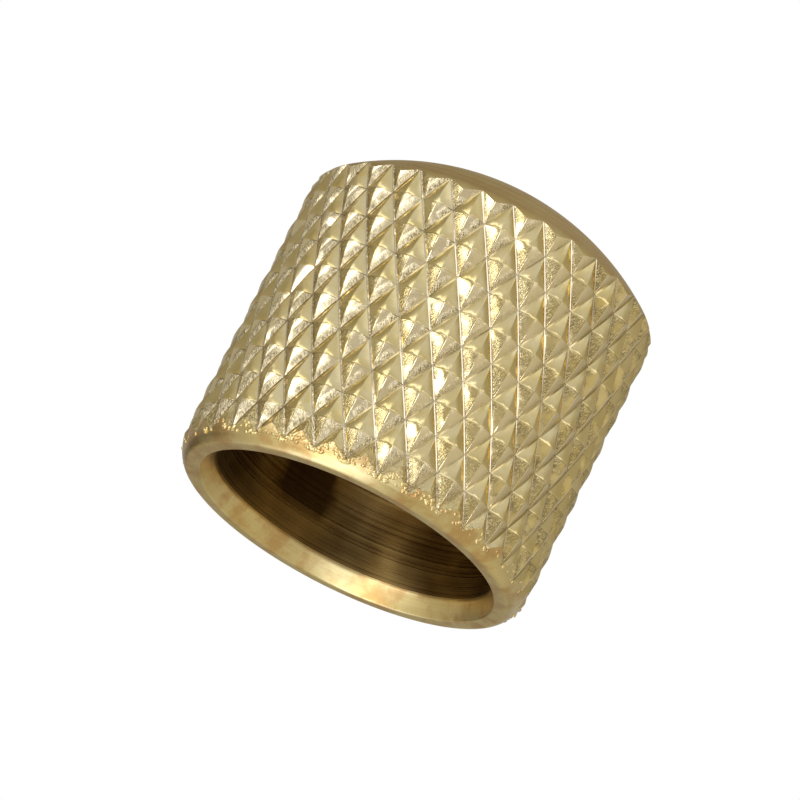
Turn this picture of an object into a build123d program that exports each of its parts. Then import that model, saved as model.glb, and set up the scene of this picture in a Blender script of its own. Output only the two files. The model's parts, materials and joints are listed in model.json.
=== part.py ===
"""Knurled dome control knob for a potentiometer shaft, with its set screw. Millimetres, +Z up."""
from build123d import *
import os
from math import cos, pi, radians, sin, tan

# ---- Driving dimensions ---------------------------------------------------------------
KNOB_RADIUS = 9.0            # over the knurl's points
KNOB_HEIGHT = 18.6           # rim face to the top of the dome
SIDE_HEIGHT = 15.0           # where the straight side would meet the dome
SHOULDER_RADIUS = 1.24       # rounding between the side and the dome
RIM_ROUND_WIDTH = 0.8        # the rim's outer rounding is a quarter ellipse: radial size
RIM_ROUND_HEIGHT = 2.0       # and axial size

RECESS_RADIUS = 7.2          # wide mouth that clears the potentiometer's nut and washer
RECESS_DEPTH = 6.0
RECESS_CORNER = 0.4          # rounding where the recess wall meets its floor
RIM_BEVEL_WIDTH = 0.4        # bevel inside the mouth: radial size
RIM_BEVEL_HEIGHT = 0.9       # and axial size

BORE_RADIUS = 3.05           # slides over a 6 mm shaft
BORE_TOP = 14.0              # where the bore's straight wall ends
BORE_CHAMFER = 0.5
DRILL_POINT_ANGLE = 118.0    # whole angle of the drill point at the bore's end

KNURL_COUNT = 34             # diamonds around the knob
KNURL_LENGTH = 2.955         # one diamond, point to point along the axis
KNURL_DEPTH = 0.34           # point of a diamond down to the groove beside it
KNURL_CROSSING = 0.575       # height of the lowest groove crossing on the -Y side
BLANK_CLEARANCE = 0.05       # the smooth blank stands this far outside the points

SCREW_HEIGHT = 10.0          # height of the set screw's axis
SCREW_HOLE_RADIUS = 1.5      # M3 thread, as a plain hole at its major diameter
SCREW_RADIUS = 1.47
SCREW_ROOT_RADIUS = 1.2
SCREW_PITCH = 0.5
SCREW_LENGTH = 5.0
SCREW_TIP = 3.1              # distance of the cup point from the knob's axis, at rest
SCREW_CUP_RADIUS = 0.75
SCREW_CUP_DEPTH = 0.35
SCREW_BEVEL = 0.3            # bevel round the socket end
SOCKET_FLATS = 1.5           # hexagon key size
SOCKET_DEPTH = 1.8

# ---- Values that follow from them -----------------------------------------------------
DOME_RISE = KNOB_HEIGHT - SIDE_HEIGHT
BLANK_RADIUS = KNOB_RADIUS + BLANK_CLEARANCE
DOME_RADIUS = (BLANK_RADIUS**2 + DOME_RISE**2) / (2 * DOME_RISE)
RIM_OUTER = KNOB_RADIUS - RIM_ROUND_WIDTH
RIM_INNER = RECESS_RADIUS + RIM_BEVEL_WIDTH
DRILL_POINT_HEIGHT = BORE_RADIUS / tan(radians(DRILL_POINT_ANGLE / 2))
SCREW_OUTER = SCREW_TIP + SCREW_LENGTH


def knurl_point(column, row):
    """A corner of the knurl: a groove crossing where column + row is even, else a point."""
    is_crossing = (column + row) % 2 == 0
    radius = KNOB_RADIUS - KNURL_DEPTH if is_crossing else KNOB_RADIUS
    angle = -pi / 2 + column * pi / KNURL_COUNT
    height = KNURL_CROSSING + row * KNURL_LENGTH / 2
    return Vector(radius * cos(angle), radius * sin(angle), height)


def triangle(a, b, c):
    return Face(Wire.make_polygon([a, b, c]))


def knurled_bar():
    """A closed bar with four-sided pyramids all over its side, longer than the knob."""
    columns = 2 * KNURL_COUNT
    first_row = -2
    last_row = int(KNOB_HEIGHT / (KNURL_LENGTH / 2)) + 2
    faces = []
    for row in range(first_row, last_row):
        for column in range(columns):
            near = knurl_point(column, row)
            right = knurl_point(column + 1, row)
            above = knurl_point(column, row + 1)
            across = knurl_point(column + 1, row + 1)
            if (column + row) % 2 == 0:
                faces.append(triangle(near, right, across))
                faces.append(triangle(near, across, above))
            else:
                faces.append(triangle(near, right, above))
                faces.append(triangle(right, across, above))
    for row in (first_row, last_row):
        height = knurl_point(0, row).Z
        centre = Vector(0, 0, height)
        for column in range(columns):
            faces.append(triangle(centre, knurl_point(column, row), knurl_point(column + 1, row)))
    return Solid(Shell(faces))


def screw_outline():
    """Half of the set screw's section: cup point, thread rings, then the socket end."""
    thread_start = SCREW_TIP + SCREW_ROOT_RADIUS - SCREW_CUP_RADIUS
    turns = int((SCREW_OUTER - SCREW_BEVEL - thread_start) / SCREW_PITCH)
    crest_height = SCREW_HEIGHT + SCREW_RADIUS
    root_height = SCREW_HEIGHT + SCREW_ROOT_RADIUS
    crest_half_width = SCREW_PITCH / 16
    points = [
        (SCREW_TIP + SCREW_CUP_DEPTH, SCREW_HEIGHT),
        (SCREW_TIP, SCREW_HEIGHT + SCREW_CUP_RADIUS),
        (thread_start, root_height),
    ]
    for turn in range(turns):
        crest = thread_start + (turn + 0.5) * SCREW_PITCH
        points.append((crest - crest_half_width, crest_height))
        points.append((crest + crest_half_width, crest_height))
        points.append((crest + SCREW_PITCH / 2, root_height))
    points.append((SCREW_OUTER, root_height))
    points.append((SCREW_OUTER, SCREW_HEIGHT))
    return points


# ---- Knob body ------------------------------------------------------------------------
with BuildPart() as knob_body:
    with BuildSketch(Plane.XZ) as blank_profile:
        with BuildLine():
            Line((0, 0), (RIM_OUTER, 0))
            EllipticalCenterArc(
                (RIM_OUTER, RIM_ROUND_HEIGHT),
                RIM_ROUND_WIDTH + BLANK_CLEARANCE,
                RIM_ROUND_HEIGHT,
                start_angle=270,
                arc_size=90,
            )
            Line((BLANK_RADIUS, RIM_ROUND_HEIGHT), (BLANK_RADIUS, SIDE_HEIGHT))
            RadiusArc((BLANK_RADIUS, SIDE_HEIGHT), (0, KNOB_HEIGHT), -DOME_RADIUS)
            Line((0, KNOB_HEIGHT), (0, 0))
        make_face()
        shoulder = blank_profile.vertices().sort_by_distance((BLANK_RADIUS, 0, SIDE_HEIGHT))[0]
        fillet(shoulder, SHOULDER_RADIUS)
    revolve(axis=Axis.Z)
    add(knurled_bar(), mode=Mode.INTERSECT)

    with BuildSketch(Plane.XZ) as recess_profile:
        with BuildLine():
            Polyline(
                (0, 0),
                (RIM_INNER, 0),
                (RECESS_RADIUS, RIM_BEVEL_HEIGHT),
                (RECESS_RADIUS, RECESS_DEPTH),
                (0, RECESS_DEPTH),
                close=True,
            )
        make_face()
        corner = recess_profile.vertices().sort_by_distance((RECESS_RADIUS, 0, RECESS_DEPTH))[0]
        fillet(corner, RECESS_CORNER)
    revolve(axis=Axis.Z, mode=Mode.SUBTRACT)

    with BuildSketch(Plane.XZ):
        with BuildLine():
            Polyline(
                (0, RECESS_DEPTH),
                (BORE_RADIUS + BORE_CHAMFER, RECESS_DEPTH),
                (BORE_RADIUS, RECESS_DEPTH + BORE_CHAMFER),
                (BORE_RADIUS, BORE_TOP),
                (0, BORE_TOP + DRILL_POINT_HEIGHT),
                close=True,
            )
        make_face()
    revolve(axis=Axis.Z, mode=Mode.SUBTRACT)

    with BuildSketch(Plane((0, 0, SCREW_HEIGHT), x_dir=(1, 0, 0), z_dir=(0, 1, 0))):
        Circle(SCREW_HOLE_RADIUS)
    extrude(amount=BLANK_RADIUS + 1, mode=Mode.SUBTRACT)

knob_body.part.label = "knob_body"

# ---- Set screw ------------------------------------------------------------------------
with BuildPart() as set_screw:
    with BuildSketch(Plane.YZ):
        with BuildLine():
            Polyline(*screw_outline(), close=True)
        make_face()
    revolve(axis=Axis((0, 0, SCREW_HEIGHT), (0, 1, 0)))
    with BuildSketch(Plane((0, SCREW_OUTER, SCREW_HEIGHT), x_dir=(1, 0, 0), z_dir=(0, 1, 0))):
        RegularPolygon(SOCKET_FLATS / 2, 6, major_radius=False)
    extrude(amount=-SOCKET_DEPTH, mode=Mode.SUBTRACT)

set_screw.part.label = "set_screw"

# ---- Files ----------------------------------------------------------------------------
os.makedirs("parts", exist_ok=True)
export_step(knob_body.part, "parts/knob_body.step")
export_step(set_screw.part, "parts/set_screw.step")
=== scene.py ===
"""A knurled dome control knob: turned and knurled metal, its set screw, a white stage and soft light."""

import json
import random
from math import atan2, cos, degrees, hypot, pi, radians, sin, sqrt, tan

import bmesh
import bpy
import numpy as np
from mathutils import Matrix, Vector, noise


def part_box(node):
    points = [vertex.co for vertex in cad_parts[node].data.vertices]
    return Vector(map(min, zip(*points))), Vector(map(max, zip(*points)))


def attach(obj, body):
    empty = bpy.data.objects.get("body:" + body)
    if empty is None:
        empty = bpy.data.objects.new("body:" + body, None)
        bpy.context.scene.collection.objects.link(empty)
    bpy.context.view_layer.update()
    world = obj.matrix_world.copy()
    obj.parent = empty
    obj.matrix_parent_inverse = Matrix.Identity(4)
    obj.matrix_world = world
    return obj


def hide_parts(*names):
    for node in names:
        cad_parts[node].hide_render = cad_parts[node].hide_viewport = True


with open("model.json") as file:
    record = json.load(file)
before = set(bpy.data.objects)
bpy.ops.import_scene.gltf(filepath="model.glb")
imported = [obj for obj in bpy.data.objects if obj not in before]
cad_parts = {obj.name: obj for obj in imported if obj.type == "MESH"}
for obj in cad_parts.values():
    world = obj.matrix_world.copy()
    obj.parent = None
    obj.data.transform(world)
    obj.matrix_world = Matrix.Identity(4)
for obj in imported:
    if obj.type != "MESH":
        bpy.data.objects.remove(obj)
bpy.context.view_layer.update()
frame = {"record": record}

MM = 0.001
MERGE_DISTANCE = 0.0005 * MM      # mesh points closer than this are one point

# ---- Sizes read from the frame --------------------------------------------------------
_, knob_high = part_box("knob_body")
screw_low, screw_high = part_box("set_screw")
mounts = {mount["name"]: mount for mount in frame["record"]["mounts"]}

KNOB_RADIUS = knob_high.x
KNOB_HEIGHT = knob_high.z
BORE_RADIUS = mounts["shaft_bore"]["dims"]["r_mm"] * MM
SCREW_RADIUS = screw_high.x
SCREW_HEIGHT = (screw_low.z + screw_high.z) / 2
SCREW_TIP = screw_low.y
SCREW_END = screw_high.y

# ---- Turned profile -------------------------------------------------------------------
SIDE_HEIGHT = 15.0 * MM           # where the straight side would meet the dome
SHOULDER_RADIUS = 1.24 * MM
BLANK_CLEARANCE = 0.05 * MM       # the blank stands this far outside the knurl's points
RIM_ROUND_WIDTH = 0.8 * MM        # quarter ellipse round the rim: radial size
RIM_ROUND_HEIGHT = 2.0 * MM       # and axial size
EDGE_BREAK = 0.12 * MM            # small rounding on the rim's turned edges
RECESS_RADIUS = 7.2 * MM
RECESS_DEPTH = 6.0 * MM
RECESS_CORNER = 0.4 * MM
BEVEL_WIDTH = 0.4 * MM            # bevel inside the mouth: radial size
BEVEL_HEIGHT = 0.9 * MM           # and axial size
# The bevel eases into the recess wall through these points, as shares of its two sizes.
BEVEL_EASE = ((0.14, 0.86), (0.04, 1.00), (0.01, 1.12), (0.00, 1.26))
BORE_TOP = 14.0 * MM
BORE_CHAMFER = 0.5 * MM
DRILL_POINT_ANGLE = radians(118)
LATHE_STEPS = 272
KNOB_SHARP_ANGLE = radians(14)    # edges sharper than this stay sharp
DARK_REFLECTION_ANGLE = radians(112.5)      # painted dark reflection on the recess wall, round from +X
DARK_REFLECTION_HALF_ANGLE = radians(11)
DARK_REFLECTION_BOTTOM = 2.4 * MM

# ---- Knurl ----------------------------------------------------------------------------
KNURL_COUNT = 34                  # diamonds around
KNURL_LENGTH = 2.955 * MM         # one diamond along the axis
KNURL_DEPTH = 0.28 * MM
KNURL_CROSSING = 0.575 * MM       # lowest groove crossing on the -Y side
FACET_SWELL = 1.6                 # 1 is a flat facet, more is rounder towards its point
GROOVE_FLAT = 0.08                # share of a facet that is the flat groove bottom
GROOVE_STEP = 0.03                # first step along a groove, the same for the facets on both sides
SLANTED_RISE = 0.1                # the slanted grooves rise by this share between two crossings
SLANTED_FLAT = 0.115              # share of an upper left facet that is the floor of a slanted groove
SLANTED_TILT = radians(8)         # how far that floor leans
SLANTED_EASE = 3.3                # how soon, going along a slanted groove, it has risen
FACET_ROWS = (0.0, GROOVE_FLAT, SLANTED_FLAT, 0.21, 0.37, 0.56, 0.78, 1.0)    # groove to point
FACET_MIDDLE = (0.35, 0.5, 0.65)  # places across a facet, between its two ridges
# Half width of the rounding on a point's four ridges: at the groove, and near the point.
RIDGE_WIDTH = {
    "right": (0.010 * MM, 0.015 * MM),
    "upper": (0.035 * MM, 0.040 * MM),
    "left": (0.045 * MM, 0.050 * MM),
    "lower": (0.035 * MM, 0.115 * MM),
}
RIDGE_LIMIT = 0.33                # widest rounding, as a share of its row
RIDGE_FALL = 0.22                 # how far a rounded ridge falls, as a share of its half width
NEAR_POINT = 0.01                 # shortest row that ridge widths are worked out for
KNURL_UNEVENNESS = 0.007 * MM
UNEVENNESS_SIZE = 0.7 * MM
SCUFFED_UP_TO = radians(-84)      # round from +X; past it the lower right facets are hardly torn

# ---- Burrs where the knurl runs out on the rim ----------------------------------------
CRUMBLE_TOP = 2.3 * MM            # the knurl is torn below this height
BURRED_UP_TO = radians(-62)       # round from +X; past it the knurl's end is cleaner
BURR_COUNT = 360
BURR_SIZE = (0.045 * MM, 0.125 * MM)
BURR_STRETCH = (0.9, 1.8)
BURR_WIDTH = 0.8                  # across, as a share of its size
BURR_ANGLE = radians(-104)        # where they crowd, round from +X
BURR_SPREAD = radians(24)
BURR_STRAY = 4                    # one burr in this many is anywhere on the rim
BURR_SEARCH = (0.3 * MM, 1.6 * MM)    # the knurl's end is looked for between these heights
BURR_SEARCH_STEP = 0.02 * MM
BURR_LOWEST = 0.45 * MM
BURR_FALL = 0.22                  # spread of the heights below the knurl's end, in millimetres
BURR_SUNK = 0.25                  # share of its size that a burr is sunk
BURR_ROOM = 1.4                   # sizes that a burr stays inside the knurl's outside
BURR_DENT = 0.025 * MM
BURR_DENT_SIZE = 0.08 * MM
BURR_SEED = 5

# ---- Set screw ------------------------------------------------------------------------
SCREW_PITCH = 0.5 * MM
SCREW_ROOT = 1.2 * MM
THREAD_CLEARANCE = 0.035 * MM
THREAD_STEPS = 8                  # rings in one turn of the thread
THREAD_SIDES = 48
THREAD_SLOPE = 1.2                # 1 is a thread with sharp crests and roots
THREAD_LAND = 0.1                 # share of a pitch that is flat, at the crest and at the root
CUTTER_OVERRUN = 1.0 * MM
CUP_RADIUS = 0.75 * MM
CUP_DEPTH = 0.35 * MM
CUP_STEPS = (0.0, 0.35, 0.65, 0.9)    # shares of the cup's radius, from its bottom
SOCKET_FLATS = 1.5 * MM
SOCKET_DEPTH = 1.8 * MM
SOCKET_OVERRUN = 0.2 * MM
SOCKET_POINT = 0.5                # depth of the drill point below it, in corner radii
SCREW_SHARP_ANGLE = radians(28)
HOLE_COUNTERSINK = 0.25 * MM

# ---- Floor and camera -----------------------------------------------------------------
FLOOR_HALF_SIZE = 40 * KNOB_RADIUS
FLOOR_GAP = 0.02 * MM             # the floor lies this far under the rim
CAMERA_BELOW = radians(19.37)     # the camera looks up at the mouth by this much
CAMERA_ROLL = radians(26.76)
CAMERA_DISTANCE = 31.367 * KNOB_RADIUS
CAMERA_AIM_HEIGHT = 0.9 * KNOB_RADIUS
CAMERA_SHIFT = (0.099 * KNOB_RADIUS, 0.044 * KNOB_RADIUS)
CAMERA_LENS = 268.4

# ---- Light ----------------------------------------------------------------------------
ROOM_LIGHT = 0.44
# Soft panels round the knob, in degrees: azimuth and half width, elevation and half height, softness
# of the edge, light added or taken away. Azimuth 0 is towards -Y and 90 towards +X.
PANELS = (
    (4, 60, 44, 16, 16, (0.27, 0.33, 0.57)),
    (62, 38, 0, 16, 14, (0.20, 0.19, 0.17)),
    (-51, 19, -2, 9, 6, (4.30, 4.75, 6.60)),
    (22, 46, 19, 5, 4, (1.10, 1.20, 1.70)),
    (-40, 26, 30, 4, 3, (1.20, 1.30, 1.70)),
    (2, 22, -3, 9, 7, (0.10, 0.10, 0.16)),
    (-36, 8, -11, 6, 3, (4.20, 4.40, 5.20)),
    (-3, 19, -27, 12, 6, (0.80, 0.95, 1.50)),
    (-97, 18, 42, 16, 8, (-0.07, -0.07, -0.08)),
    (-66, 14, 40, 10, 8, (0.11, 0.12, 0.15)),
    (20, 22, 54, 5, 5, (0.40, 0.45, 0.62)),
    (-140, 24, -14, 14, 10, (-0.26, -0.26, -0.26)),
    (180, 34, -17, 10, 8, (-0.14, -0.15, -0.19)),
    (180, 60, 50, 25, 20, (-0.10, -0.14, -0.20)),
    (-150, 30, 45, 20, 12, (-0.08, -0.08, -0.08)),
)
# Level panels below the knob, in shares of their own depth below it: towards +X and half width,
# towards -Y and half depth, softness of the edge, light added.
LOW_PANELS = (
    (-1.00, 0.80, 0.90, 1.10, 0.40, (0.34, 0.34, 0.36)),
    (-0.32, 0.25, 0.80, 1.40, 0.13, (0.64, 0.74, 1.02)),
    (-0.24, 0.15, 0.18, 0.93, 0.10, (1.00, 1.20, 1.95)),
    (1.20, 1.00, 0.00, 1.50, 0.40, (0.13, 0.12, 0.08)),
)


# ======================================================================================
# Mesh helpers
# ======================================================================================
def mesh_object(name, points, faces, materials=(), indices=None):
    """A new linked object from points and faces, with an optional material index per face."""
    mesh = bpy.data.meshes.new(name)
    mesh.from_pydata([tuple(point) for point in points], [], faces)
    if indices is not None:
        mesh.polygons.foreach_set("material_index", indices)
    obj = bpy.data.objects.new(name, mesh)
    bpy.context.scene.collection.objects.link(obj)
    for material in materials:
        mesh.materials.append(material)
    return obj


def clean(obj):
    """Merges doubled points and turns all faces outwards."""
    work = bmesh.new()
    work.from_mesh(obj.data)
    bmesh.ops.remove_doubles(work, verts=work.verts, dist=MERGE_DISTANCE)
    bmesh.ops.dissolve_degenerate(work, edges=work.edges, dist=MERGE_DISTANCE)
    bmesh.ops.recalc_face_normals(work, faces=work.faces)
    work.to_mesh(obj.data)
    work.free()


def boolean(obj, tool, operation):
    """Cuts or intersects obj with tool, applies the result and removes the tool."""
    modifier = obj.modifiers.new(operation.lower(), "BOOLEAN")
    modifier.operation = operation
    modifier.solver = "EXACT"
    modifier.object = tool
    bpy.context.view_layer.update()
    evaluated = obj.evaluated_get(bpy.context.evaluated_depsgraph_get())
    result = bpy.data.meshes.new_from_object(evaluated)
    obj.modifiers.clear()
    obj.data = result
    bpy.data.objects.remove(tool)


def revolve(name, profile, labels, materials):
    """A closed body from a profile of (radius, height) points that starts and ends on the Z axis."""
    angles = np.linspace(0, 2 * pi, LATHE_STEPS, endpoint=False)
    points = [(0, 0, profile[0][1])]
    for radius, height in profile[1:-1]:
        points.extend((radius * cos(a), radius * sin(a), height) for a in angles)
    points.append((0, 0, profile[-1][1]))
    last = len(points) - 1
    faces, indices = [], []
    for step in range(LATHE_STEPS):
        following = (step + 1) % LATHE_STEPS
        faces.append((0, 1 + step, 1 + following))
        indices.append(labels[0])
        for ring in range(len(profile) - 3):
            start = 1 + ring * LATHE_STEPS
            below = start + LATHE_STEPS
            faces.append((start + step, below + step, below + following, start + following))
            indices.append(labels[ring + 1])
        start = 1 + (len(profile) - 3) * LATHE_STEPS
        faces.append((start + step, last, start + following))
        indices.append(labels[-1])
    obj = mesh_object(name, points, faces, materials, indices)
    clean(obj)
    return obj


def smooth_by_angle(obj, limit):
    """Smooth shading, with edges sharper than the limit kept sharp."""
    obj.data.shade_smooth()
    obj.data.set_sharp_from_angle(angle=limit)


# ======================================================================================
# Material helpers
# ======================================================================================
class Nodes:
    """Short calls that add linked shader nodes to one node tree."""

    def __init__(self, tree):
        self.tree = tree
        self.tree.nodes.clear()

    def add(self, kind, inputs=None, **settings):
        """A new node; each input is a value, or another node's output to link."""
        node = self.tree.nodes.new(kind)
        for name, value in settings.items():
            setattr(node, name, value)
        for key, value in (inputs or {}).items():
            self.feed(node.inputs[key], value)
        return node

    def feed(self, socket, value):
        """Links value into the socket where it is an output, or else sets it."""
        if isinstance(value, bpy.types.NodeSocket):
            self.tree.links.new(value, socket)
        else:
            socket.default_value = value

    def math(self, operation, *values):
        node = self.add("ShaderNodeMath", operation=operation)
        for socket, value in zip(node.inputs, values):
            self.feed(socket, value)
        return node.outputs[0]

    def times(self, first, *others):
        """The product of all values."""
        for value in others:
            first = self.math("MULTIPLY", first, value)
        return first

    def distance(self, value, centre):
        """How far value is from centre, either way."""
        return self.math("ABSOLUTE", self.math("SUBTRACT", value, centre))

    def ramp(self, value, low, high, start=0.0, end=1.0):
        """Smooth step of value from low to high, giving start to end."""
        node = self.add("ShaderNodeMapRange", interpolation_type="SMOOTHSTEP")
        for socket, setting in zip(node.inputs, (value, low, high, start, end)):
            self.feed(socket, setting)
        return node.outputs[0]

    def noise(self, vector, scale, detail=2.0, roughness=0.5):
        inputs = {"Vector": vector, "Scale": scale, "Detail": detail, "Roughness": roughness}
        return self.add("ShaderNodeTexNoise", inputs).outputs["Fac"]

    def combine(self, x, y, z):
        return self.add("ShaderNodeCombineXYZ", {"X": x, "Y": y, "Z": z}).outputs[0]

    def add_scaled(self, total, vector, amount):
        """The colour or vector total plus amount times vector."""
        inputs = {0: vector, "Scale": amount}
        scaled = self.add("ShaderNodeVectorMath", inputs, operation="SCALE").outputs[0]
        return self.add("ShaderNodeVectorMath", {0: total, 1: scaled}, operation="ADD").outputs[0]

    def blend(self, factor, first, second):
        """A number from first at factor 0 to second at factor 1."""
        inputs = {0: factor, 2: first, 3: second}
        return self.add("ShaderNodeMix", inputs, data_type="FLOAT").outputs[0]

    def mix(self, factor, first, second):
        """A colour from first at factor 0 to second at factor 1."""
        inputs = {0: factor, 6: first, 7: second}
        return self.add("ShaderNodeMix", inputs, data_type="RGBA").outputs[2]

    def bump(self, height, distance, strength=1.0, normal=None):
        inputs = {"Height": height, "Distance": distance, "Strength": strength}
        if normal is not None:
            inputs["Normal"] = normal
        return self.add("ShaderNodeBump", inputs).outputs[0]

    def cylinder(self):
        """The place, its angle round the Z axis, distance from it and height: radians, millimetres."""
        place = self.add("ShaderNodeTexCoord").outputs["Object"]
        inputs = {0: place, "Scale": 1 / MM}
        scaled = self.add("ShaderNodeVectorMath", inputs, operation="SCALE").outputs[0]
        x, y, z = self.add("ShaderNodeSeparateXYZ", {0: scaled}).outputs
        angle = self.math("ARCTAN2", y, x)
        radius = self.math("SQRT", self.math("ADD", self.times(x, x), self.times(y, y)))
        return scaled, angle, radius, z


def metal(name):
    """A new material with a metallic Principled shader: (material, nodes, shader)."""
    material = bpy.data.materials.new(name)
    material.use_nodes = True
    nodes = Nodes(material.node_tree)
    shader = nodes.add("ShaderNodeBsdfPrincipled")
    shader.inputs["Metallic"].default_value = 1.0
    output = nodes.add("ShaderNodeOutputMaterial")
    nodes.tree.links.new(shader.outputs[0], output.inputs["Surface"])
    return material, nodes, shader


GOLD = (0.83, 0.65, 0.285, 1)
DEEP_GOLD = (0.76, 0.565, 0.195, 1)
# Paler gold that paints highlights on the knurl's steep grooves and lower right facets.
PAINTED_HIGHLIGHT_GOLD = (0.90, 0.76, 0.48, 1)
# Brown that paints shade in the slanted grooves and in the pits of the torn facets.
PAINTED_SHADE_BROWN = (0.20, 0.14, 0.05, 1)
# The bore's tones: brass colour, darkened and browned as painted shade in the recess.
BORE_BRASS_AND_SHADE = (0.46, 0.30, 0.09, 1)
BORE_PAINTED_SHADE = (0.13, 0.068, 0.016, 1)
TARNISH = (0.62, 0.35, 0.11, 1)
# Colour of a painted dark reflection on the recess wall.
PAINTED_DARK_REFLECTION = (0.05, 0.025, 0.010, 1)
BLACK_OXIDE = (0.055, 0.055, 0.06, 1)
WORN_STEEL = (0.16, 0.155, 0.15, 1)


def knurl_grid(nodes, angle, height):
    """Places counted in diamonds: across the steep grooves, and across the slanted ones."""
    column = nodes.times(nodes.math("ADD", angle, pi / 2), KNURL_COUNT / pi)
    row = nodes.times(nodes.math("SUBTRACT", height, KNURL_CROSSING / MM), 2 / (KNURL_LENGTH / MM))
    over_steep = nodes.times(nodes.math("ADD", column, row), 0.5)
    over_slanted = nodes.times(nodes.math("SUBTRACT", column, row), 0.5)
    return over_steep, over_slanted


def chatter_marks(nodes, place, over_steep, over_slanted, on_left):
    """Uneven strokes across the torn facets, mixed with crumbs."""
    close, wide = 34.0, 6.0
    off_steep = nodes.combine(nodes.times(over_slanted, close), nodes.times(over_steep, wide), 0.0)
    off_slanted = nodes.combine(nodes.times(over_steep, close), nodes.times(over_slanted, wide), 5.0)
    steep_marks = nodes.noise(off_steep, 1.0, 2.0, 0.6)
    slanted_marks = nodes.noise(off_slanted, 1.0, 2.0, 0.6)
    marks = nodes.blend(on_left, slanted_marks, steep_marks)
    crumbs = nodes.noise(place, 12.0, 3.0, 0.65)
    return nodes.math("ADD", nodes.times(marks, 0.5), nodes.times(crumbs, 0.5))


def crumbled_end(nodes, angle, height, patches):
    """How far the knurl is torn where it runs out on the rim."""
    low = nodes.ramp(height, CRUMBLE_TOP / MM, CRUMBLE_TOP / MM - 0.7)
    burred = nodes.ramp(angle, BURRED_UP_TO + 0.25, BURRED_UP_TO - 0.25, 0.25, 1.0)
    return nodes.times(low, burred, nodes.ramp(patches, 0.0, 1.0, 0.2, 0.7))


def knurl_metal():
    """Cut diamond facets: two smooth, two torn by the knurling wheels, with painted highlights along the
    steep grooves and on the lower right facets, and painted shade in the slanted grooves and the torn
    pits.
    """
    material, nodes, shader = metal("knurled_gold")
    place, angle, _, height = nodes.cylinder()
    over_steep, over_slanted = knurl_grid(nodes, angle, height)
    # Distances to the four grooves round a point, each named after the facet beside it.
    left_low = nodes.math("FRACT", over_steep)
    right_high = nodes.math("SUBTRACT", 1.0, left_low)
    left_high = nodes.math("FRACT", over_slanted)
    right_low = nodes.math("SUBTRACT", 1.0, left_high)
    smooth_sides = nodes.math("MINIMUM", left_high, right_high)
    torn_sides = nodes.math("MINIMUM", left_low, right_low)
    groove = nodes.math("MINIMUM", smooth_sides, torn_sides)
    on_torn = nodes.ramp(nodes.math("SUBTRACT", smooth_sides, torn_sides), 0.0, 0.05)
    on_left = nodes.ramp(nodes.math("SUBTRACT", right_low, left_low), -0.03, 0.03)
    steep_groove_highlight = nodes.ramp(nodes.math("MINIMUM", left_low, right_high), 0.055, 0.035)
    slanted_groove = nodes.ramp(left_high, SLANTED_FLAT * 0.5 + 0.015, SLANTED_FLAT * 0.5 - 0.015)

    # Lower left facets are torn nearly all over, lower right ones only beside their groove.
    by_ridge = nodes.ramp(nodes.distance(left_low, right_low), 0.22, 0.0)
    worn = nodes.math("MAXIMUM", nodes.ramp(groove, 0.34, 0.06), nodes.times(by_ridge, 0.8))
    torn_left = nodes.math("MAXIMUM", worn, 0.75)
    scuffed = nodes.ramp(angle, SCUFFED_UP_TO + 0.2, SCUFFED_UP_TO - 0.2, 0.2, 1.0)
    torn_right = nodes.times(nodes.ramp(groove, 0.27, 0.08), scuffed)
    patches = nodes.ramp(nodes.noise(place, 0.9, 2.0), 0.34, 0.56)
    torn = nodes.times(on_torn, nodes.blend(on_left, torn_right, torn_left), patches)
    torn = nodes.math("MAXIMUM", torn, crumbled_end(nodes, angle, height, patches))
    # Lower right facets: rougher, and given a painted highlight in their colour.
    rubbed_and_painted_highlight = nodes.times(on_torn, nodes.math("SUBTRACT", 1.0, on_left))
    chatter = chatter_marks(nodes, place, over_steep, over_slanted, on_left)
    # Painted shade: spots of the torn facets darkened like shaded pits.
    pit_shade_spots = nodes.blend(on_left, nodes.ramp(chatter, 0.54, 0.46), nodes.ramp(chatter, 0.60, 0.46))
    painted_pit_shade = nodes.times(torn, pit_shade_spots)
    grain = nodes.noise(place, 9.0, 3.0, 0.6)
    ripple = nodes.noise(place, 1.6, 1.0, 0.4)

    tint = nodes.ramp(nodes.noise(place, 0.8, 3.0, 0.6), 0.3, 0.7)
    # Painted shade: how far the slanted grooves' floors are darkened, uneven by noise.
    painted_groove_shade = nodes.ramp(nodes.noise(place, 0.7, 3.0), 0.36, 0.60, 0.12, 0.60)
    colour = nodes.mix(tint, GOLD, DEEP_GOLD)
    # Painted highlight along the steep grooves.
    colour = nodes.mix(nodes.times(steep_groove_highlight, 0.7), colour, PAINTED_HIGHLIGHT_GOLD)
    # Painted shade in the slanted grooves.
    colour = nodes.mix(nodes.times(slanted_groove, painted_groove_shade), colour, PAINTED_SHADE_BROWN)
    # Painted highlight over the lower right facets.
    colour = nodes.mix(nodes.times(rubbed_and_painted_highlight, 0.5), colour, PAINTED_HIGHLIGHT_GOLD)
    # Painted shade in the pits of the torn facets.
    colour = nodes.mix(nodes.times(painted_pit_shade, 0.8), colour, PAINTED_SHADE_BROWN)
    nodes.feed(shader.inputs["Base Color"], colour)

    rough = nodes.math("ADD", nodes.ramp(grain, 0.3, 0.7, 0.12, 0.18), nodes.times(torn, 0.08))
    rough = nodes.math("ADD", rough, nodes.times(rubbed_and_painted_highlight, 0.09))
    nodes.feed(shader.inputs["Roughness"], rough)

    depth = nodes.times(torn, nodes.ramp(on_left, 0.0, 1.0, 1.5, 0.7))
    normal = nodes.bump(nodes.times(chatter, depth), 0.065 * MM)
    normal = nodes.bump(ripple, 0.02 * MM, 0.5, normal)
    normal = nodes.bump(grain, 0.003 * MM, 0.6, normal)
    nodes.feed(shader.inputs["Normal"], normal)
    return material


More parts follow.
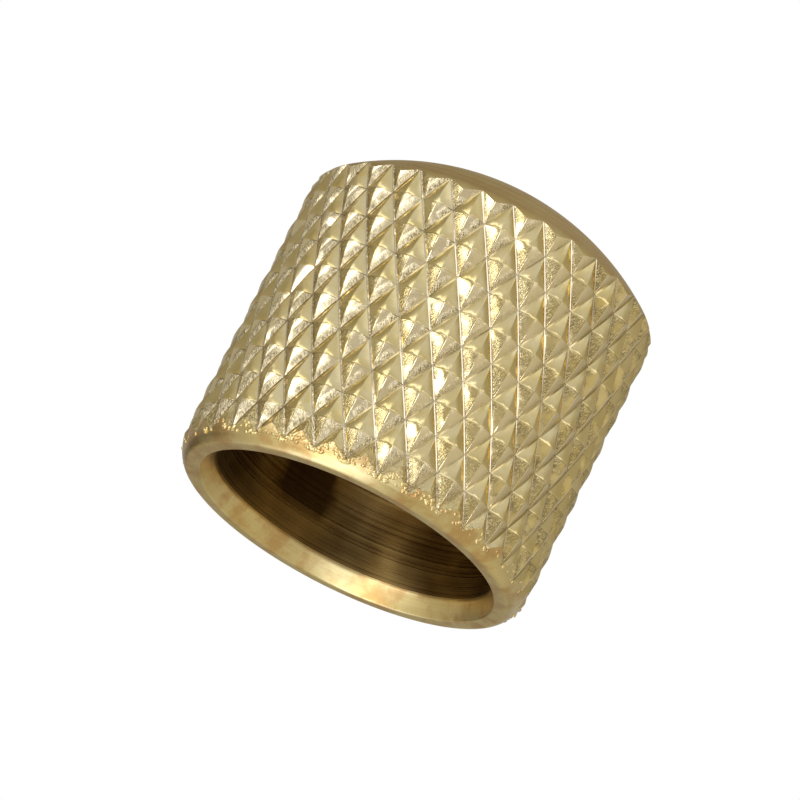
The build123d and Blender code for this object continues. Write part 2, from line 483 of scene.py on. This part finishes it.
def dark_reflection_mask(nodes, place, angle, radius, height):
    """A painted dark reflection on the recess wall, with ragged sides."""
    ragged = nodes.times(nodes.math("SUBTRACT", nodes.noise(place, 0.9, 3.0), 0.5), 0.25)
    off_centre = nodes.math("ADD", nodes.distance(angle, DARK_REFLECTION_ANGLE), ragged)
    beside = nodes.ramp(off_centre, DARK_REFLECTION_HALF_ANGLE + 0.05, DARK_REFLECTION_HALF_ANGLE - 0.05)
    above = nodes.ramp(height, DARK_REFLECTION_BOTTOM / MM - 0.3, DARK_REFLECTION_BOTTOM / MM + 0.5)
    on_wall = nodes.ramp(radius, RECESS_RADIUS / MM - 0.4, RECESS_RADIUS / MM - 0.1)
    return nodes.times(beside, above, on_wall)


def turned_metal(name, tones, roughness, line_scale, line_depth, brushed, tarnish=0.0, painted_reflection=False):
    """Metal off the lathe: fine rings of uneven depth and tone round the axis."""
    material, nodes, shader = metal(name)
    place, angle, radius, height = nodes.cylinder()
    across = nodes.combine(nodes.times(radius, line_scale), nodes.times(height, line_scale), 0.0)
    rings = nodes.noise(across, 1.0, 4.0, 0.7)
    coarse = nodes.noise(across, 0.23, 2.0, 0.5)
    drift = nodes.noise(place, 0.35, 2.0)
    grain = nodes.noise(place, 7.0, 3.0, 0.6)

    light, dark = tones
    shade = nodes.math("ADD", nodes.times(rings, 0.6), nodes.times(drift, 0.4))
    colour = nodes.mix(nodes.ramp(shade, 0.36, 0.64), dark, light)
    if tarnish:
        blotches = nodes.ramp(nodes.noise(place, 0.55, 4.0, 0.65), 0.42, 0.62, 0.0, tarnish)
        colour = nodes.mix(blotches, colour, TARNISH)
    # Painted reflection: a dark patch on the recess wall in place of a dark reflection.
    if painted_reflection:
        dark_reflection = nodes.times(dark_reflection_mask(nodes, place, angle, radius, height), 0.85)
        colour = nodes.mix(dark_reflection, colour, PAINTED_DARK_REFLECTION)
    nodes.feed(shader.inputs["Base Color"], colour)
    spread = nodes.ramp(coarse, 0.3, 0.7, roughness * 0.8, roughness * 1.25)
    nodes.feed(shader.inputs["Roughness"], spread)
    normal = nodes.bump(rings, line_depth)
    normal = nodes.bump(grain, 0.004 * MM, 0.5, normal)
    nodes.feed(shader.inputs["Normal"], normal)
    tangent = nodes.add("ShaderNodeTangent", direction_type="RADIAL", axis="Z").outputs[0]
    nodes.feed(shader.inputs["Tangent"], tangent)
    shader.inputs["Anisotropic"].default_value = brushed
    shader.inputs["Anisotropic Rotation"].default_value = 0.25
    return material


def screw_metal():
    """Black oxide on steel, worn to grey in patches."""
    material, nodes, shader = metal("black_oxide_steel")
    place, *_ = nodes.cylinder()
    wear = nodes.ramp(nodes.noise(place, 2.2, 4.0, 0.65), 0.45, 0.7)
    nodes.feed(shader.inputs["Base Color"], nodes.mix(wear, BLACK_OXIDE, WORN_STEEL))
    nodes.feed(shader.inputs["Roughness"], nodes.ramp(wear, 0.0, 1.0, 0.42, 0.28))
    nodes.feed(shader.inputs["Normal"], nodes.bump(nodes.noise(place, 14.0, 3.0), 0.004 * MM, 0.6))
    return material


# ======================================================================================
# Knob body
# ======================================================================================
KNURL, RIM, DOME, BORE = range(4)      # the knob's material slots


def arc(centre, radius, start, end, steps):
    """Points on an arc from start to end, in radians, both ends included."""
    rx, rz = radius if isinstance(radius, tuple) else (radius, radius)
    angles = np.linspace(start, end, steps + 1)
    return [(centre[0] + rx * cos(a), centre[1] + rz * sin(a)) for a in angles]


def blank_profile():
    """The knob's section from the dome's top, down the outside, into the mouth, to the drill point."""
    side = KNOB_RADIUS + BLANK_CLEARANCE
    rise = KNOB_HEIGHT - SIDE_HEIGHT
    dome_radius = (side**2 + rise**2) / (2 * rise)
    dome_centre = KNOB_HEIGHT - dome_radius
    inner = side - SHOULDER_RADIUS
    shoulder = dome_centre + sqrt((dome_radius - SHOULDER_RADIUS) ** 2 - inner**2)
    turn = atan2(shoulder - dome_centre, inner)
    rim_outer = KNOB_RADIUS - RIM_ROUND_WIDTH
    rim_inner = RECESS_RADIUS + BEVEL_WIDTH
    round_size = (RIM_ROUND_WIDTH + BLANK_CLEARANCE, RIM_ROUND_HEIGHT)
    drill_point = BORE_TOP + BORE_RADIUS / tan(DRILL_POINT_ANGLE / 2)
    bevel_slope = atan2(BEVEL_HEIGHT, BEVEL_WIDTH)
    rim_edge = (rim_inner + EDGE_BREAK, EDGE_BREAK)
    ease = [(RECESS_RADIUS + BEVEL_WIDTH * out, BEVEL_HEIGHT * up) for out, up in BEVEL_EASE]
    recess_corner = (RECESS_RADIUS - RECESS_CORNER, RECESS_DEPTH - RECESS_CORNER)

    sections = [
        (DOME, arc((0, dome_centre), dome_radius, pi / 2, turn, 26)),
        (DOME, arc((inner, shoulder), SHOULDER_RADIUS, turn, 0, 10)),
        (RIM, [(side, SIDE_HEIGHT / 2)]),
        (RIM, arc((rim_outer, RIM_ROUND_HEIGHT), round_size, 0, -pi / 2, 24)),
        (RIM, arc(rim_edge, EDGE_BREAK, -pi / 2, -pi / 2 - bevel_slope, 4)),
        (RIM, ease[:-1]),
        (BORE, ease[-1:]),
        (BORE, arc(recess_corner, RECESS_CORNER, 0, pi / 2, 8)),
        (BORE, [(BORE_RADIUS + BORE_CHAMFER, RECESS_DEPTH)]),
        (BORE, [(BORE_RADIUS, RECESS_DEPTH + BORE_CHAMFER)]),
        (BORE, [(BORE_RADIUS, BORE_TOP)]),
        (BORE, [(0, drill_point)]),
    ]
    profile, labels = [], []
    for label, points in sections:
        for point in points:
            if profile and hypot(point[0] - profile[-1][0], point[1] - profile[-1][1]) < 1e-7:
                continue
            profile.append(point)
            labels.append(label)
    return profile, labels[1:]


def knurl_facet(point, corners, ridges, burnished):
    """Corners of one facet, row by row from its groove to its point, as (column, row, drop)."""
    side = hypot(pi * KNOB_RADIUS / KNURL_COUNT, KNURL_LENGTH / 2)
    reach = pi * KNOB_RADIUS / KNURL_COUNT * KNURL_LENGTH / 2 / side
    has_floor = ridges == ["upper", "left"]
    floor = SLANTED_FLAT if has_floor else GROOVE_FLAT
    rows = []
    for share in FACET_ROWS:
        length = side * max(1 - share, NEAR_POINT)
        widths = [low + (high - low) * share for low, high in (RIDGE_WIDTH[name] for name in ridges)]
        start, end = (min(RIDGE_LIMIT, width / length) for width in widths)
        if share == 0.0:
            start = end = GROOVE_STEP
        row = []
        for across in (0.0, start, *FACET_MIDDLE, 1 - end, 1.0):
            on_ridge = across in (0.0, 1.0)
            low = corners[0] * (1 - across) + corners[1] * across
            place = low * (1 - share) + point * share
            rise = share
            if burnished or on_ridge or has_floor:
                flat = GROOVE_FLAT if on_ridge else floor
                rise = max(0.0, (share - flat) / (1 - flat))
            drop = KNURL_DEPTH * (1 - rise) ** FACET_SWELL
            if has_floor and not on_ridge:
                drop -= min(share, floor) * reach * tan(SLANTED_TILT) * (1 - rise)
            if not burnished:
                drop *= 1 - SLANTED_RISE * min(1.0, SLANTED_EASE * min(across, 1 - across))
            if on_ridge and GROOVE_FLAT < share < 1.0:
                drop += RIDGE_FALL * widths[int(across)]
            row.append((place.x, place.y, drop))
        rows.append(row)
    return rows


def knurled_bar(materials):
    """A closed bar, longer than the knob, with four-sided points cut all round it."""
    names = ("right", "upper", "left", "lower")
    steps = [Vector(step) for step in ((1, 0), (0, 1), (-1, 0), (0, -1))]
    last_row = int(KNOB_HEIGHT / (KNURL_LENGTH / 2)) + 2
    points, faces = [], []
    for row in range(-2, last_row + 1):
        for column in range(row % 2 == 0, 2 * KNURL_COUNT, 2):
            point = Vector((column, row))
            for side in range(4):
                pair = (side, (side + 1) % 4)
                corners = [point + steps[i] for i in pair]
                grid = knurl_facet(point, corners, [names[i] for i in pair], burnished=side in (0, 2))
                wide = len(grid[0])
                start = len(points)
                for line in grid:
                    points.extend(bar_point(*corner) for corner in line)
                for i in range(len(grid) - 1):
                    for j in range(wide - 1):
                        a = start + i * wide + j
                        faces.append((a, a + 1, a + 1 + wide, a + wide))
    bar = mesh_object("knurled_bar", points, faces, materials)
    clean(bar)
    close_ends(bar)
    return bar


def bar_point(column, row, drop):
    """A place on the knurl, with the small unevenness that the wheels leave."""
    angle = -pi / 2 + column * pi / KNURL_COUNT
    height = KNURL_CROSSING + row * KNURL_LENGTH / 2
    radius = KNOB_RADIUS - drop
    place = Vector((radius * cos(angle), radius * sin(angle), height))
    radius -= KNURL_UNEVENNESS * (0.5 + 0.5 * noise.noise(place / UNEVENNESS_SIZE))
    return radius * cos(angle), radius * sin(angle), height


def close_ends(bar):
    """Closes the bar's two zigzag ends with a fan to a point on the axis."""
    work = bmesh.new()
    work.from_mesh(bar.data)
    open_edges = [edge for edge in work.edges if edge.is_boundary]
    for is_top in (False, True):
        ends = [e for e in open_edges if (e.verts[0].co.z > KNOB_HEIGHT / 2) == is_top]
        heights = [vert.co.z for edge in ends for vert in edge.verts]
        centre = work.verts.new((0, 0, max(heights) if is_top else min(heights)))
        for edge in ends:
            work.faces.new((edge.verts[0], edge.verts[1], centre))
    bmesh.ops.recalc_face_normals(work, faces=work.faces)
    work.to_mesh(bar.data)
    work.free()


def rim_radius(height):
    """Radius of the turned outside at a height on the rim's rounding."""
    down = max(0.0, 1 - height / RIM_ROUND_HEIGHT)
    return KNOB_RADIUS - RIM_ROUND_WIDTH + (RIM_ROUND_WIDTH + BLANK_CLEARANCE) * sqrt(1 - down**2)


def knurl_radius(column, height):
    """Radius of the knurl's facets, without their small ridges and unevenness."""
    row = (height - KNURL_CROSSING) / (KNURL_LENGTH / 2)
    shares = [(column + row) / 2 % 1, (column - row) / 2 % 1]
    rise = 2 * min(min(share, 1 - share) for share in shares)
    return KNOB_RADIUS - KNURL_DEPTH * (1 - rise) ** FACET_SWELL


def burr_matrix(draw, angle, radius, height):
    """Where a burr sits, and how it is turned and stretched."""
    place = Matrix.Rotation(angle, 4, "Z") @ Matrix.Translation((radius, 0, height))
    turn = Matrix.Rotation(draw.uniform(0, pi), 4, "X")
    stretch = Matrix.Diagonal((BURR_WIDTH, 1.0, draw.uniform(*BURR_STRETCH), 1.0))
    return place @ turn @ stretch


def add_burrs(knob):
    """Small rounded crumbs of metal, sunk into the rim where the knurl runs out."""
    draw = random.Random(BURR_SEED)
    noise.seed_set(BURR_SEED)    # without it, noise_vector differs from run to run
    burrs = bmesh.new()
    for number in range(BURR_COUNT):
        strays = number % BURR_STRAY == 0
        angle = draw.uniform(-pi, pi) if strays else draw.gauss(BURR_ANGLE, BURR_SPREAD)
        column = (angle + pi / 2) / (pi / KNURL_COUNT)
        height, search_top = BURR_SEARCH
        while height < search_top and knurl_radius(column, height) > rim_radius(height):
            height += BURR_SEARCH_STEP
        height = max(BURR_LOWEST, height - abs(draw.gauss(0, BURR_FALL)) * MM)
        size = draw.uniform(*BURR_SIZE)
        radius = min(rim_radius(height), KNOB_RADIUS - BURR_ROOM * size) - BURR_SUNK * size
        matrix = burr_matrix(draw, angle, radius, height)
        bmesh.ops.create_icosphere(burrs, subdivisions=2, radius=size, matrix=matrix)
    for vert in burrs.verts:
        vert.co += BURR_DENT * noise.noise_vector(vert.co / BURR_DENT_SIZE)
    for face in burrs.faces:
        face.material_index = RIM
        face.smooth = True
    crumbs = bpy.data.meshes.new("burrs")
    burrs.to_mesh(crumbs)
    burrs.free()
    work = bmesh.new()
    work.from_mesh(knob.data)
    work.from_mesh(crumbs)
    work.to_mesh(knob.data)
    work.free()
    bpy.data.meshes.remove(crumbs)


def thread_rings(start, end, crest, root):
    """Rings of a helical thread along +Y at the set screw's height: [(y, [radius, ...]), ...]."""
    count = int(round((end - start) / SCREW_PITCH * THREAD_STEPS))
    rings = []
    for ring in range(count + 1):
        y = start + (end - start) * ring / count
        radii = []
        for side in range(THREAD_SIDES):
            turn = ((y - SCREW_TIP) / SCREW_PITCH - side / THREAD_SIDES) % 1.0
            wave = (1 - abs(2 * turn - 1)) * THREAD_SLOPE - THREAD_LAND
            radii.append(root + (crest - root) * min(1.0, max(0.0, wave)))
        rings.append((y, radii))
    return rings


def rings_to_mesh(name, rings, materials):
    """A closed body round the set screw's axis from rings of radii, closed by a fan at both ends."""
    points = []
    for y, radii in rings:
        for side, radius in enumerate(radii):
            angle = 2 * pi * side / THREAD_SIDES
            points.append((radius * cos(angle), y, SCREW_HEIGHT + radius * sin(angle)))
    faces = []
    for ring in range(len(rings) - 1):
        for side in range(THREAD_SIDES):
            a = ring * THREAD_SIDES + side
            b = ring * THREAD_SIDES + (side + 1) % THREAD_SIDES
            faces.append((a, b, b + THREAD_SIDES, a + THREAD_SIDES))
    for ring in (0, len(rings) - 1):
        centre = len(points)
        points.append((0, rings[ring][0], SCREW_HEIGHT))
        for side in range(THREAD_SIDES):
            a = ring * THREAD_SIDES + side
            b = ring * THREAD_SIDES + (side + 1) % THREAD_SIDES
            faces.append((a, b, centre))
    obj = mesh_object(name, points, faces, materials)
    clean(obj)
    return obj


def tapped_hole(materials):
    """The cutter for the radial M3 hole, with a small countersink where it leaves the knurl."""
    crest = SCREW_RADIUS + THREAD_CLEARANCE
    root = SCREW_ROOT + 2 * THREAD_CLEARANCE
    rings = thread_rings(BORE_RADIUS - CUTTER_OVERRUN, KNOB_RADIUS + CUTTER_OVERRUN, crest, root)
    mouth = KNOB_RADIUS - KNURL_DEPTH
    opened = []
    for y, radii in rings:
        flare = max(0.0, y - (mouth - HOLE_COUNTERSINK))
        opened.append((y, [max(radius, crest + flare - HOLE_COUNTERSINK) for radius in radii]))
    cutter = rings_to_mesh("tapped_hole", opened, materials)
    cutter.data.polygons.foreach_set("material_index", [BORE] * len(cutter.data.polygons))
    return cutter


def make_knob():
    """The knurled bar, cut to the turned blank, with its tapped hole and its burrs."""
    gold = (GOLD, DEEP_GOLD)
    bore_tones_and_shade = (BORE_BRASS_AND_SHADE, BORE_PAINTED_SHADE)
    materials = [
        knurl_metal(),
        turned_metal("turned_gold_rim", gold, 0.30, 14.0, 0.009 * MM, brushed=0.3, tarnish=0.75),
        turned_metal("turned_gold_dome", gold, 0.30, 8.0, 0.006 * MM, brushed=0.5, tarnish=0.25),
        # The bore's tones are partly the brass's colour and partly painted shade of the recess.
        turned_metal("bored_brass_and_shade", bore_tones_and_shade, 0.29, 26.0, 0.004 * MM, brushed=0.95, painted_reflection=True),
    ]
    profile, labels = blank_profile()
    knob = knurled_bar(materials)
    knob.name = "knurled_dome_knob"
    boolean(knob, revolve("blank", profile, labels, materials), "INTERSECT")
    boolean(knob, tapped_hole(materials), "DIFFERENCE")
    clean(knob)
    smooth_by_angle(knob, KNOB_SHARP_ANGLE)
    add_burrs(knob)
    return knob


# ======================================================================================
# Set screw
# ======================================================================================
def hexagon_cutter(materials):
    """The cutter for the hexagon socket, with the point that its drill leaves."""
    corner = SOCKET_FLATS / sqrt(3)
    hexagon = [(corner * cos(pi * k / 3), corner * sin(pi * k / 3)) for k in range(6)]
    outside, floor = SCREW_END + SOCKET_OVERRUN, SCREW_END - SOCKET_DEPTH
    points = [(x, outside, SCREW_HEIGHT + z) for x, z in hexagon]
    points += [(x, floor, SCREW_HEIGHT + z) for x, z in hexagon]
    points.append((0, floor - corner * SOCKET_POINT, SCREW_HEIGHT))
    faces = [tuple(range(6))]
    for k in range(6):
        n = (k + 1) % 6
        faces.append((k, n, 6 + n, 6 + k))
        faces.append((6 + k, 6 + n, 12))
    cutter = mesh_object("socket", points, faces, materials)
    clean(cutter)
    return cutter


def make_set_screw():
    """An M3 socket set screw: cup point towards the shaft, hexagon socket towards the outside."""
    materials = [screw_metal()]
    rings = []
    for share in CUP_STEPS:
        rings.append((SCREW_TIP + CUP_DEPTH * (1 - share), [CUP_RADIUS * share] * THREAD_SIDES))
    for y, radii in thread_rings(SCREW_TIP, SCREW_END, SCREW_RADIUS, SCREW_ROOT):
        point_limit = CUP_RADIUS + (y - SCREW_TIP)
        end_limit = SCREW_ROOT + (SCREW_END - y)
        rings.append((y, [min(radius, point_limit, end_limit) for radius in radii]))
    screw = rings_to_mesh("socket_set_screw", rings, materials)
    boolean(screw, hexagon_cutter(materials), "DIFFERENCE")
    clean(screw)
    smooth_by_angle(screw, SCREW_SHARP_ANGLE)
    return screw


# ======================================================================================
# Stage, light and camera
# ======================================================================================
def make_floor():
    """A pale floor that shows from above only, so it doesn't hide the knob from below."""
    size = FLOOR_HALF_SIZE
    corners = [(-size, -size, 0), (size, -size, 0), (size, size, 0), (-size, size, 0)]
    floor = mesh_object("floor", corners, [(0, 1, 2, 3)])
    floor.location.z = -FLOOR_GAP
    material = bpy.data.materials.new("pale_floor")
    material.use_nodes = True
    nodes = Nodes(material.node_tree)
    below = nodes.add("ShaderNodeNewGeometry").outputs["Backfacing"]
    white = nodes.add("ShaderNodeBsdfDiffuse", {"Color": (0.97, 0.95, 0.88, 1)}).outputs[0]
    clear = nodes.add("ShaderNodeBsdfTransparent").outputs[0]
    seen = nodes.add("ShaderNodeMixShader", {0: below, 1: white, 2: clear}).outputs[0]
    nodes.add("ShaderNodeOutputMaterial", {"Surface": seen})
    floor.data.materials.append(material)
    floor.visible_diffuse = False
    floor.visible_glossy = False
    floor.visible_transmission = False
    floor.visible_shadow = False


def direction(azimuth, elevation):
    """Unit vector from two angles in degrees: azimuth 0 is towards -Y and 90 towards +X."""
    a, e = radians(azimuth), radians(elevation)
    return Vector((sin(a) * cos(e), -cos(a) * cos(e), sin(e)))


def make_world():
    """White behind the knob, and a room of soft panels for its metal to reflect."""
    world = bpy.data.worlds.new("studio")
    bpy.context.scene.world = world
    world.use_nodes = True
    nodes = Nodes(world.node_tree)
    ray = nodes.add("ShaderNodeTexCoord").outputs["Generated"]
    x, y, z = nodes.add("ShaderNodeSeparateXYZ", {0: ray}).outputs
    azimuth = nodes.math("DEGREES", nodes.math("ARCTAN2", x, nodes.times(y, -1.0)))
    elevation = nodes.math("DEGREES", nodes.math("ARCSINE", z))
    total = nodes.combine(ROOM_LIGHT, ROOM_LIGHT, ROOM_LIGHT)
    for centre, half_width, middle, half_height, soft, light in PANELS:
        off = nodes.math("SUBTRACT", 180.0, nodes.distance(nodes.distance(azimuth, centre), 180.0))
        above = nodes.distance(elevation, middle)
        inside = nodes.times(
            nodes.ramp(off, half_width + soft, half_width - soft),
            nodes.ramp(above, half_height + soft, half_height - soft),
        )
        total = nodes.add_scaled(total, light, inside)
    depth = nodes.math("MAXIMUM", nodes.times(z, -1.0), 0.02)
    across = nodes.math("DIVIDE", x, depth)
    front = nodes.math("DIVIDE", nodes.times(y, -1.0), depth)
    below = nodes.ramp(z, -0.05, -0.2)
    for right, half_width, ahead, half_depth, soft, light in LOW_PANELS:
        inside = nodes.times(
            nodes.ramp(nodes.distance(across, right), half_width + soft, half_width - soft),
            nodes.ramp(nodes.distance(front, ahead), half_depth + soft, half_depth - soft),
        )
        total = nodes.add_scaled(total, light, nodes.times(inside, below))
    room = nodes.add("ShaderNodeBackground", {"Color": total, "Strength": 1.0}).outputs[0]
    white = nodes.add("ShaderNodeBackground", {"Color": (1, 1, 1, 1), "Strength": 1.0}).outputs[0]
    camera_ray = nodes.add("ShaderNodeLightPath").outputs["Is Camera Ray"]
    seen = nodes.add("ShaderNodeMixShader", {0: camera_ray, 1: room, 2: white}).outputs[0]
    nodes.add("ShaderNodeOutputWorld", {"Surface": seen})


def softbox(name, azimuth, elevation, distance, width, height, power):
    """A rectangular area light that faces the middle of the knob."""
    light = bpy.data.lights.new(name, "AREA")
    light.shape = "RECTANGLE"
    light.size = width
    light.size_y = height
    light.energy = power
    light.color = (1.0, 0.98, 0.95)
    obj = bpy.data.objects.new(name, light)
    bpy.context.scene.collection.objects.link(obj)
    middle = Vector((0, 0, KNOB_HEIGHT / 2))
    away = direction(azimuth, elevation)
    obj.location = middle + away * distance
    obj.rotation_mode = "QUATERNION"
    obj.rotation_quaternion = away.to_track_quat("Z", "Y")


def make_camera():
    """A long lens from below and in front, rolled so that the knob leans."""
    data = bpy.data.cameras.new("camera")
    data.lens = CAMERA_LENS
    data.clip_start = 0.01
    data.clip_end = 10.0
    camera = bpy.data.objects.new("camera", data)
    bpy.context.scene.collection.objects.link(camera)
    back = direction(0, -degrees(CAMERA_BELOW))
    level_right = Vector((1, 0, 0))
    level_up = back.cross(level_right)
    right = level_right * cos(CAMERA_ROLL) + level_up * sin(CAMERA_ROLL)
    up = back.cross(right)
    aim = Vector((0, 0, CAMERA_AIM_HEIGHT)) - right * CAMERA_SHIFT[0] - up * CAMERA_SHIFT[1]
    turn = Matrix((right, up, back)).transposed()
    camera.matrix_world = Matrix.Translation(aim + back * CAMERA_DISTANCE) @ turn.to_4x4()
    bpy.context.scene.camera = camera


make_camera()
make_floor()
make_world()
softbox("fill_softbox", azimuth=-40, elevation=-45, distance=0.30, width=0.10, height=0.10, power=0.05)
bpy.context.scene.view_settings.view_transform = "Standard"

knob = make_knob()
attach(knob, "knob")
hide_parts("knob_body")

screw = make_set_screw()
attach(screw, "screw")
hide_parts("set_screw")
